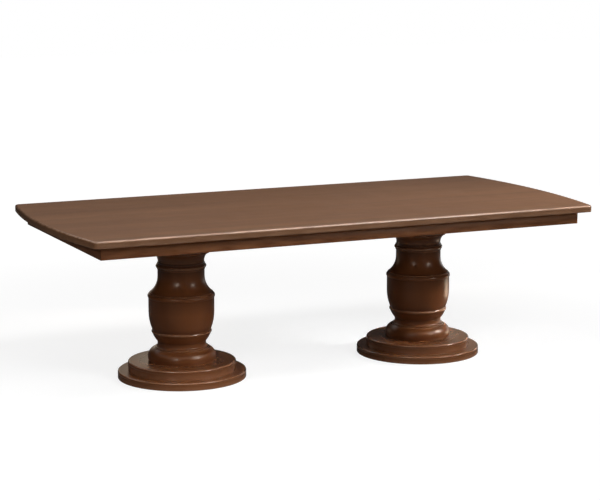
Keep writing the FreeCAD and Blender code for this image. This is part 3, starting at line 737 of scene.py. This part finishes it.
@dataclass
class TurnedSection:
    """One turned section of a pedestal, from its foot up."""

    side: Side

    NODE: ClassVar[str] = ""
    LUMBER: ClassVar[Lumber] = Lumber(GrainAxis.UPRIGHT, 0.085, 0.120)
    BORE: ClassVar[float] = 0.009
    EASE: ClassVar[float] = 0.0009
    EASE_STEPS: ClassVar[int] = 3
    EASE_ROOM: ClassVar[float] = 0.45
    ARC_STEP: ClassVar[float] = math.radians(7)
    FEWEST_ARC_STEPS: ClassVar[int] = 4
    SHARPEST_SMOOTH_TURN: ClassVar[float] = math.radians(16)
    # Convex arcs rounder than this take the pale arris colour, partly rubbing and partly a painted
    # highlight.
    WORN_AND_HIGHLIT_ROUND: ClassVar[float] = 0.010
    SEGMENTS: ClassVar[int] = 160

    def runs(self) -> list[Run]:
        """The runs of the outer wall from the foot to the top, which are a section's own fields."""
        return [value for value in vars(self).values() if isinstance(value, Run)]

    @property
    def node(self) -> str:
        """The frame node that this section stands for."""
        return f"{self.side.value}_{self.NODE}"

    def hollow(self) -> list[Run]:
        """The runs on the inside, from the top of the rod's bore down to the foot."""
        return [Run(self.BORE), Run(self.BORE, -sum(run.rise for run in self.runs()))]

    def build(self) -> Piece:
        """Turns the section and puts it where the frame has it.

        Returns:
            The turning.
        """
        low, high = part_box(self.node)
        axis = Vector(((low.x + high.x) / 2, (low.y + high.y) / 2, low.z))
        shape = self._spin(self._eased(self._traced()), axis)
        self.cut(shape, axis)
        return Maker.piece(f"{self.node}_turning", shape, self.node, Finishes.TURNED.on(self.LUMBER))

    def cut(self, shape: Shape, axis: Vector) -> None:
        """Takes anything that isn't round out of the turned mesh, given the foot of its axis."""

    def _traced(self) -> list[Spot]:
        """Stacks the runs into a closed outline, with its arcs as short chords.

        Returns:
            The outline's points.
        """
        runs = [*self.runs(), *self.hollow()]
        heights = list(accumulate(run.rise for run in runs))
        ends = [Vector((run.radius, height)) for run, height in zip(runs, heights)]
        spots: list[Spot] = []
        for index, run in enumerate(runs):
            spots += self._arc(ends[index - 1], ends[index], run.swell)
            spots.append(Spot(run.radius, heights[index]))
        return spots

    def _arc(self, start: Vector, finish: Vector, swell: float) -> list[Spot]:
        """Draws the arc that joins two corners.

        Args:
            start: Where the arc starts.
            finish: Where it ends.
            swell: How far it swells out, or hollows in where it is negative.

        Returns:
            The points between the ends, or none for a straight run.
        """
        if not swell:
            return []
        chord = finish - start
        rise = abs(swell)
        radius = chord.length_squared / (8 * rise) + rise / 2
        outward = Vector((chord.y, -chord.x)).normalized() * math.copysign(1, swell)
        centre = (start + finish) / 2 - outward * (radius - rise)
        half = math.asin(chord.length / 2 / radius)
        steps = max(self.FEWEST_ARC_STEPS, math.ceil(2 * half / self.ARC_STEP))
        tangent = chord.normalized()
        # Small convex rounds such as rims and beads take a painted highlight line over real rubbing.
        worn_and_highlit = swell > 0 and radius < self.WORN_AND_HIGHLIT_ROUND
        spots = []
        for turn in turns(-half, half, steps)[1:-1]:
            place = centre + (outward * math.cos(turn) + tangent * math.sin(turn)) * radius
            spots.append(Spot(place.x, place.y, wear_and_highlight=math.cos(turn) if worn_and_highlit else 0.0))
        return spots

    def _eased(self, outline: list[Spot]) -> list[Spot]:
        """Rounds each sharp corner of a closed outline a little, as sanding and lacquer do.

        Args:
            outline: The outline, with the wall on the right hand.

        Returns:
            The rounded outline, with rubbing and a painted highlight on its arrises and stain in its quirks.
        """
        spots: list[Spot] = []
        places = [Vector((spot.radius, spot.height)) for spot in outline]
        for index, here in enumerate(places):
            back = places[index - 1] - here
            ahead = places[(index + 1) % len(places)] - here
            turn = math.pi - back.angle(ahead)
            if turn < self.SHARPEST_SMOOTH_TURN:
                spots.append(outline[index])
                continue
            room = self.EASE_ROOM * min(back.length, ahead.length)
            run = min(self.EASE * math.tan(turn / 2), room)
            radius = run / math.tan(turn / 2)
            middle = (back.normalized() + ahead.normalized()).normalized()
            centre = here + middle * math.hypot(radius, run)
            start, finish = here + back.normalized() * run, here + ahead.normalized() * run
            # Outer corners take the pale arris colour, partly rubbing and partly a painted highlight; inner
            # corners take pooled stain.
            proud = back.cross(ahead) < 0
            for step in range(self.EASE_STEPS + 1):
                leg = start.lerp(finish, step / self.EASE_STEPS) - centre
                place = centre + leg.normalized() * radius
                spots.append(Spot(place.x, place.y, wear_and_highlight=float(proud), pool=float(not proud)))
        return spots

    def _spin(self, spots: list[Spot], axis: Vector) -> Shape:
        """Spins a closed outline about its axis.

        Args:
            spots: The outline.
            axis: The foot of the axis.

        Returns:
            The closed mesh.
        """
        shape = bmesh.new()
        wear_and_highlight, pool = Maker.layers(shape)
        rings = []
        for angle in turns(0.0, FULL_TURN, self.SEGMENTS)[:-1]:
            across = Vector((math.cos(angle), math.sin(angle), 0.0))
            ring = []
            for spot in spots:
                vert = shape.verts.new(axis + across * spot.radius + Vector((0, 0, spot.height)))
                vert[wear_and_highlight] = spot.wear_and_highlight
                vert[pool] = spot.pool
                ring.append(vert)
            rings.append(ring)
        for ring, other in zip(rings, [*rings[1:], rings[0]]):
            for step in range(len(spots)):
                ahead = (step + 1) % len(spots)
                shape.faces.new((ring[step], other[step], other[ahead], ring[ahead]))
        return shape


@dataclass
class Disc(TurnedSection):
    """A flat disc with its upper rim rounded over."""

    radius: float
    thick: float
    rim_round: float

    def runs(self) -> list[Run]:
        """Draws the disc's edge.

        Returns:
            The runs from the foot to the top.
        """
        bulge = self.rim_round * (1 - math.sqrt(0.5))
        return [
            Run(self.radius),
            Run(self.radius, self.thick - self.rim_round),
            Run(self.radius - self.rim_round, self.rim_round, bulge),
        ]


@dataclass
class BaseDisc(Disc):
    """The broad disc that stands on its glides."""

    radius: float = 0.2955
    thick: float = 0.035
    rim_round: float = 0.006
    nut_hollow_radius: float = 0.028
    nut_hollow_depth: float = 0.024
    glide_ring: float = 0.225
    glide_count: int = 4
    glide_start: float = math.radians(45)
    pad_recess_radius: float = 0.018
    pad_recess_depth: float = 0.006
    insert_radius: float = 0.00605
    insert_depth: float = 0.020

    FLAT: ClassVar[float] = 1e-6
    RECESS_SEGMENTS: ClassVar[int] = 40
    NODE: ClassVar[str] = "base_disc"
    LUMBER: ClassVar[Lumber] = Lumber(board_width=0.148)

    def hollow(self) -> list[Run]:
        """Draws the bore and the wider recess for the rod's lower nut.

        Returns:
            The runs from the top to the foot.
        """
        return [
            Run(self.BORE),
            Run(self.BORE, self.nut_hollow_depth - self.thick),
            Run(self.nut_hollow_radius),
            Run(self.nut_hollow_radius, -self.nut_hollow_depth),
        ]

    def cut(self, shape: Shape, axis: Vector) -> None:
        """Sinks the glides' recesses into the underside.

        Args:
            shape: The turned mesh.
            axis: The foot of its axis.
        """
        low = {vert for vert in shape.verts if abs(vert.co.z - axis.z) < self.FLAT}
        underside = [face for face in shape.faces if low.issuperset(face.verts)]
        bmesh.ops.delete(shape, geom=underside, context="FACES_ONLY")
        rims = [edge for edge in shape.edges if edge.is_boundary]
        for turn in turns(self.glide_start, self.glide_start + FULL_TURN, self.glide_count)[:-1]:
            middle = axis + self.glide_ring * Vector((math.cos(turn), math.sin(turn), 0.0))
            rims += self._recess(shape, middle)
        bmesh.ops.triangle_fill(shape, use_beauty=True, edges=rims, normal=(0.0, 0.0, -1.0))

    def _recess(self, shape: Shape, middle: Vector) -> list[bmesh.types.BMEdge]:
        """Makes the walls of one glide's recess and of the pocket for its insert.

        Args:
            shape: The mesh to add them to.
            middle: The middle of the recess's mouth.

        Returns:
            The edges round its mouth.
        """
        rings = []
        for radius, rise in (
            (self.pad_recess_radius, 0.0),
            (self.pad_recess_radius, self.pad_recess_depth),
            (self.insert_radius, self.pad_recess_depth),
            (self.insert_radius, self.pad_recess_depth + self.insert_depth),
        ):
            place = Matrix.Translation(middle + Vector((0.0, 0.0, rise)))
            made = bmesh.ops.create_circle(shape, segments=self.RECESS_SEGMENTS, radius=radius, matrix=place)
            rings.append(made["verts"])
        for lower, upper in zip(rings, rings[1:]):
            for index, vert in enumerate(lower):
                shape.faces.new((vert, lower[index - 1], upper[index - 1], upper[index]))
        shape.faces.new(rings[-1])
        ends = [(ring[index - 1], vert) for ring in rings for index, vert in enumerate(ring)]
        edges = [shape.edges.get(pair) for pair in ends]
        for edge in edges:
            edge.smooth = False
        return edges[:self.RECESS_SEGMENTS]


@dataclass
class PlinthDisc(Disc):
    """The smaller disc on the base."""

    radius: float = 0.2485
    thick: float = 0.044
    rim_round: float = 0.007

    NODE: ClassVar[str] = "plinth_disc"
    LUMBER: ClassVar[Lumber] = Lumber(board_width=0.125)


@dataclass
class TorusRing(TurnedSection):
    """The swelling ring under the urn, with a small fillet on top."""

    foot: Run = Run(0.153)
    bulge: Run = Run(0.127, 0.060, 0.0146)
    fillet_step: Run = Run(0.123)
    fillet: Run = Run(0.123, 0.005)

    NODE: ClassVar[str] = "torus_ring"


@dataclass
class Urn(TurnedSection):
    """The urn: a coved foot, a cup with a bead, the belly, and a shoulder with its own bead."""

    foot: Run = Run(0.121)
    cove: Run = Run(0.1115, 0.011, -0.0027)
    lower_neck: Run = Run(0.1115, 0.014)
    cup: Run = Run(0.1355, 0.0398, 0.0018)
    cup_bead: Run = Run(0.1355, 0.0124, 0.003)
    quirk: Run = Run(0.1355, 0.0048)
    belly: Run = Run(0.151, 0.081, 0.004)
    upper_wall: Run = Run(0.151, 0.0654)
    shoulder_bead: Run = Run(0.1493, 0.0186, 0.0045)
    shoulder_step: Run = Run(0.1475)
    shoulder: Run = Run(0.1475, 0.004)

    NODE: ClassVar[str] = "urn"


@dataclass
class Neck(TurnedSection):
    """The neck: a foot, a flare that sweeps in, a bead between two fillets, and a collar."""

    foot: Run = Run(0.146)
    foot_edge: Run = Run(0.146, 0.002)
    foot_step: Run = Run(0.1445)
    flare: Run = Run(0.1078, 0.075, -0.0097)
    shaft: Run = Run(0.1078, 0.032)
    lower_step: Run = Run(0.110)
    lower_fillet: Run = Run(0.110, 0.006)
    bead: Run = Run(0.110, 0.017, 0.006)
    upper_fillet: Run = Run(0.110, 0.006)
    upper_step: Run = Run(0.1065)
    collar: Run = Run(0.1065, 0.012)

    NODE: ClassVar[str] = "neck"


@dataclass
class Capital(TurnedSection):
    """The capital under the mounting plate: a cavetto, a fillet, an echinus and a round abacus."""

    foot: Run = Run(0.1065)
    cavetto: Run = Run(0.131, 0.037, -0.006)
    fillet_step: Run = Run(0.134)
    fillet: Run = Run(0.134, 0.008)
    echinus: Run = Run(0.180, 0.037, 0.008)
    abacus_step: Run = Run(0.190)
    abacus: Run = Run(0.190, 0.041)

    NODE: ClassVar[str] = "capital"


@dataclass
class Pedestal:
    """One pedestal, made of its turned sections from the floor up."""

    side: Side

    SECTIONS: ClassVar[tuple[type[TurnedSection], ...]] = (
        BaseDisc, PlinthDisc, TorusRing, Urn, Neck, Capital,
    )

    def build(self) -> list[Piece]:
        """Turns every section of the pedestal."""
        return [section(self.side).build() for section in self.SECTIONS]


@dataclass
class TableTop:
    """The slab: straight long sides, bowed ends, rounded corners and a soft upper arris."""

    end_bow: float = 0.057
    corner_round: float = 0.022
    arris_round: float = 0.009
    lower_round: float = 0.003

    NODE: ClassVar[str] = "table_top"
    LUMBER: ClassVar[Lumber] = Lumber(board_width=0.130)
    # Share of the pale arris colour on the lower round, partly rubbing and partly a painted highlight.
    LOWER_WEAR_AND_HIGHLIGHT: ClassVar[float] = 0.3
    BOW_STEPS: ClassVar[int] = 48
    CORNER_STEPS: ClassVar[int] = 10
    ROUND_STEPS: ClassVar[int] = 6

    def build(self) -> Piece:
        """Lofts the slab from its underside to its upper face.

        Returns:
            The slab.
        """
        low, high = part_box(self.NODE)
        shape = bmesh.new()
        wear_and_highlight, _ = Maker.layers(shape)
        loops = []
        for inset, height, worn_and_highlit in self._edge(high.z - low.z):
            plan = self._plan(inset, high.x, high.y)
            loops.append([shape.verts.new((x, y, low.z + height)) for x, y in plan])
            for vert in loops[-1]:
                vert[wear_and_highlight] = worn_and_highlit
        Maker.loft(shape, loops)
        return Maker.piece("top_slab", shape, self.NODE, Finishes.TOP.on(self.LUMBER))

    def _edge(self, thick: float) -> list[tuple[float, float, float]]:
        """Draws the edge's section, from the underside to the upper face.

        Args:
            thick: The slab's thickness.

        Returns:
            For each loop, its inset from the outline, its height and its share of rubbed edge and painted
            highlight.
        """
        quarter = turns(0.0, QUARTER_TURN, self.ROUND_STEPS)
        rows = []
        for turn in quarter:
            inset = self.lower_round * (1 - math.sin(turn))
            rows.append((inset, self.lower_round * (1 - math.cos(turn)), self.LOWER_WEAR_AND_HIGHLIGHT))
        # The pale arris colour peaks in the middle of the upper arris: a painted highlight line along the
        # edge over real rubbing.
        for turn in quarter:
            inset = self.arris_round * (1 - math.cos(turn))
            rows.append((inset, thick - self.arris_round * (1 - math.sin(turn)), math.sin(2 * turn)))
        return rows

    def _plan(self, inset: float, half_length: float, half_width: float) -> list[Point2]:
        """Draws the outline seen from above, moved inwards.

        Args:
            inset: How far the outline moves in.
            half_length: Half the slab's length, over its bows.
            half_width: Half its width.

        Returns:
            The outline's points, anticlockwise from the front right corner.
        """
        bow_radius = half_width ** 2 / (2 * self.end_bow) + self.end_bow / 2
        bow_centre = half_length - bow_radius
        corner_y = half_width - self.corner_round
        corner_x = bow_centre + math.sqrt((bow_radius - self.corner_round) ** 2 - corner_y ** 2)
        bow_angle = math.atan2(corner_y, corner_x - bow_centre)
        front = turns(-QUARTER_TURN, -bow_angle, self.CORNER_STEPS)
        bow = turns(-bow_angle, bow_angle, self.BOW_STEPS)[1:-1]
        back = turns(bow_angle, QUARTER_TURN, self.CORNER_STEPS)
        right_half = []
        for x, y, radius, arc in (
            (corner_x, -corner_y, self.corner_round - inset, front),
            (bow_centre, 0.0, bow_radius - inset, bow),
            (corner_x, corner_y, self.corner_round - inset, back),
        ):
            right_half += [(x + radius * math.cos(turn), y + radius * math.sin(turn)) for turn in arc]
        return right_half + [(-x, -y) for x, y in right_half]


@dataclass
class Apron:
    """Four rails under the top, mitred at the corners, with eased lower edges."""

    ease: float = 0.002
    corner_round: float = 0.0015

    # The frame node of each rail, and the way that its outer face looks in X and Y.
    RAILS: ClassVar[dict[str, Point2]] = {
        "front_apron": (0, -1),
        "right_end_apron": (1, 0),
        "back_apron": (0, 1),
        "left_end_apron": (-1, 0),
    }
    ROUND_STEPS: ClassVar[int] = 3
    ROUND_PROFILE: ClassVar[float] = 0.5

    def build(self) -> list[Piece]:
        """Makes the four rails."""
        return [self._rail(node, Vector((*way, 0))) for node, way in self.RAILS.items()]

    def _rail(self, node: str, outward: Vector) -> Piece:
        """Makes one rail.

        Args:
            node: The frame node that it stands for.
            outward: The way that its outer face looks.

        Returns:
            The rail.
        """
        low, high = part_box(node)
        lengthwise = Vector((-outward.y, outward.x, 0))
        size = high - low
        axis = GrainAxis.CROSSWISE if outward.x else GrainAxis.LENGTHWISE
        length, thick = (size[index] for index in axis.value[:2])
        face = (low + high) / 2 + outward * thick / 2
        shape = bmesh.new()
        wear_and_highlight, _ = Maker.layers(shape)
        plan = self._plan(length / 2, thick)
        loops = []
        for height in (low.z, high.z):
            start = Vector((face.x, face.y, height))
            loops.append([shape.verts.new(start + lengthwise * u - outward * v) for u, v in plan])
        Maker.loft(shape, loops)
        lower = loops[0]
        inner_edge = len(lower) - 2
        long_edges = [index for index in range(inner_edge + 1) if index != inner_edge - 1]
        eased = [shape.edges.get((lower[index], lower[index + 1])) for index in long_edges]
        made = bmesh.ops.bevel(
            shape, geom=eased, offset=self.ease, segments=self.ROUND_STEPS,
            profile=self.ROUND_PROFILE, affect="EDGES",
        )
        for vert in made["verts"]:
            vert[wear_and_highlight] = 1.0
        return Maker.piece(f"{node}_rail", shape, node, Finishes.APRON.on(Lumber(axis)))

    def _plan(self, half_length: float, thick: float) -> list[Point2]:
        """Draws a rail's outline seen from above: along it, and inwards from its outer face.

        Args:
            half_length: Half the rail's length, from mitre to mitre.
            thick: The rail's thickness.

        Returns:
            The outer edge with its two softened corners, then the inner edge.
        """
        outer = []
        for turn in turns(0.0, QUARTER_TURN / 2, self.ROUND_STEPS):
            along = half_length - self.corner_round * (1 - math.sin(turn))
            outer.append((along, self.corner_round * (1 - math.cos(turn))))
        start = [(-along, inwards) for along, inwards in reversed(outer)]
        inner = half_length - thick
        return [*start, *outer, (inner, thick), (-inner, thick)]


class CarriedNodes:
    """The frame's own nodes, of which the framing, the hardware and the glides stay in sight."""

    FINISHES: dict[str, Finish] = {
        "top_wood": Finishes.TOP,
        "apron_wood": Finishes.APRON,
        "turned_wood": Finishes.TURNED,
        "frame_wood": Finishes.FRAMING,
        "fastener_steel": Finishes.STEEL,
        "insert_brass": Finishes.BRASS,
        "glide_plastic": Finishes.PAD,
    }

    def dress(self) -> None:
        """Gives each node the finish of its slot."""
        for name, node in frame["nodes"].items():
            finish = self.FINISHES[Maker.slot_of(name)].on(Lumber(self._grain(name))).material()
            if not node.material_slots:
                node.data.materials.append(finish)
            for place in node.material_slots:
                place.material = finish
            log.info("%s is finished in %s", name, finish.name)

    def _grain(self, name: str) -> GrainAxis:
        """Finds the way that a node's grain runs, which is along its longest side.

        Args:
            name: The node's name.

        Returns:
            The grain's direction.
        """
        low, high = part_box(name)
        sides = high - low
        longest = max(range(3), key=lambda index: sides[index])
        return next(axis for axis in GrainAxis if axis.value[0] == longest)


@dataclass(frozen=True)
class Softbox:
    """One soft studio lamp, placed by its bearing round the table and aimed at a point."""

    name: str
    azimuth: float
    elevation: float
    distance: float
    width: float
    height: float
    power: float
    spread: float = 180.0
    aim: tuple[float, float, float] = (0.0, 0.0, 0.45)
    tint: Colour = Colour(255, 255, 255)

    def build(self) -> Piece:
        """Hangs the lamp.

        Returns:
            The lamp's object.
        """
        lamp = bpy.data.lights.new(self.name, "AREA")
        lamp.shape = "RECTANGLE"
        lamp.size, lamp.size_y = self.width, self.height
        lamp.energy = self.power
        lamp.color = self.tint.linear()[:3]
        lamp.spread = math.radians(self.spread)
        made = bpy.data.objects.new(self.name, lamp)
        bpy.context.scene.collection.objects.link(made)
        turn, rise = math.radians(self.azimuth), math.radians(self.elevation)
        level = math.cos(rise)
        bearing = Vector((math.sin(turn) * level, -math.cos(turn) * level, math.sin(rise)))
        made.location = Vector(self.aim) + bearing * self.distance
        made.rotation_mode = "QUATERNION"
        made.rotation_quaternion = (-bearing).to_track_quat("-Z", "Y")
        made.visible_camera = False
        return made


@dataclass
class Studio:
    """The plain studio: a white floor and background, a dim wall out of sight, lamps and the camera."""

    lens: float = 113.0
    sensor: float = 36.0
    camera_place: tuple[float, float, float] = (-3.67503, -7.90853, 2.07495)
    camera_yaw: float = 24.83
    camera_pitch: float = 9.94
    floor_size: float = 40.0
    wall_radius: float = 6.6
    wall_height: float = 4.2
    sky_strength: float = 0.06

    WALL_SEGMENTS: ClassVar[int] = 64
    CARD: ClassVar[Colour] = Colour(255, 234, 208)
    LAMPS: ClassVar[tuple[Softbox, ...]] = (
        Softbox("key_softbox", 12.0, 59.0, 4.4, 7.8, 0.8, 155.0, 150.0, (-1.3, 0.0, 0.45)),
        Softbox("front_left_softbox", -40.0, 18.0, 4.4, 1.0, 0.6, 2.6, 46.0, (-1.1, -0.3, 0.60)),
        Softbox("front_right_softbox", 22.0, 18.0, 4.6, 1.2, 0.6, 1.2, 36.0, (1.2, -0.4, 0.60)),
        Softbox("apron_strip", 0.0, 3.0, 3.6, 2.8, 0.3, 0.68, 8.0, (0.0, -0.55, 0.84)),
        Softbox("right_softbox", 38.0, 33.0, 4.6, 2.0, 0.9, 3.2, 24.0, (-0.7, 0.0, 0.12)),
        Softbox("low_right_softbox", 38.0, 18.0, 4.6, 1.0, 0.6, 1.1, 40.0, (-0.8, 0.0, 0.42)),
        Softbox("flank_softbox", 65.0, 30.0, 3.5, 0.8, 0.5, 2.1, 20.0, (0.615, 0.0, 0.44)),
        Softbox("base_softbox", 62.0, 38.0, 3.0, 0.8, 0.5, 1.0, 20.0, (0.9, 0.0, 0.04)),
        Softbox("side_softbox", 97.0, -6.0, 1.0, 0.4, 0.18, 0.17, 60.0, (0.615, 0.0, 0.20), CARD),
        Softbox("rim_softbox", 120.0, 2.0, 2.4, 1.0, 0.4, 2.0, aim=(0.615, 0.0, 0.30)),
        Softbox("low_back_card", 162.0, 12.0, 1.7, 0.8, 0.5, 0.85, aim=(-0.95, 0.0, 0.10), tint=CARD),
        Softbox("right_back_card", 150.0, 12.0, 1.7, 0.5, 0.5, 0.40, aim=(0.88, 0.0, 0.08), tint=CARD),
        Softbox("high_back_card", 152.0, 11.0, 2.6, 1.8, 0.7, 0.35, aim=(1.0, 0.0, 0.762)),
    )

    def build(self) -> None:
        """Sets up everything that isn't part of the table."""
        bpy.context.scene.view_settings.view_transform = "Standard"
        self._floor()
        self._wall()
        self._sky()
        for lamp in self.LAMPS:
            lamp.build()
        self._camera()

    def _floor(self) -> None:
        """Lays the floor."""
        shape = bmesh.new()
        bmesh.ops.create_grid(shape, x_segments=1, y_segments=1, size=self.floor_size / 2)
        made = Maker.shown("studio_floor", shape, FloorPaper("floor_paper"))

    def _wall(self) -> None:
        """Puts up a round wall that the camera doesn't see."""
        shape = bmesh.new()
        bmesh.ops.create_cone(
            shape, segments=self.WALL_SEGMENTS, radius1=self.wall_radius, radius2=self.wall_radius,
            depth=self.wall_height,
        )
        bmesh.ops.translate(shape, verts=shape.verts, vec=(0, 0, self.wall_height / 2))
        made = Maker.shown("studio_wall", shape, WallFelt("wall_felt"))
        made.visible_camera = False

    def _sky(self) -> None:
        """Shows white where the background shows, and a soft grey fill for everything else."""
        world = bpy.data.worlds.new("studio_sky")
        bpy.context.scene.world = world
        world.use_nodes = True
        graph = Graph(world.node_tree)
        white = graph.times(graph.seen(), 1.0 - self.sky_strength)
        inputs = {"Color": Colour.grey(1.0), "Strength": graph.total(self.sky_strength, white)}
        graph.add("OutputWorld", {"Surface": graph.add("Background", inputs).outputs[0]})

    def _camera(self) -> None:
        """Sets the camera at the photograph's place and angle."""
        camera = bpy.data.cameras.new("view")
        camera.lens = self.lens
        camera.sensor_width = self.sensor
        made = bpy.data.objects.new("view", camera)
        bpy.context.scene.collection.objects.link(made)
        made.location = self.camera_place
        made.rotation_euler = (math.radians(90 - self.camera_pitch), 0.0, -math.radians(self.camera_yaw))
        bpy.context.scene.camera = made


def main() -> None:
    """Builds the table's pieces in order, then the studio round it."""
    logging.basicConfig(level=logging.INFO, format="%(message)s")
    CarriedNodes().dress()
    TableTop().build()
    Apron().build()
    for side in Side:
        Pedestal(side).build()
    Studio().build()


if __name__ == "__main__":
    main()
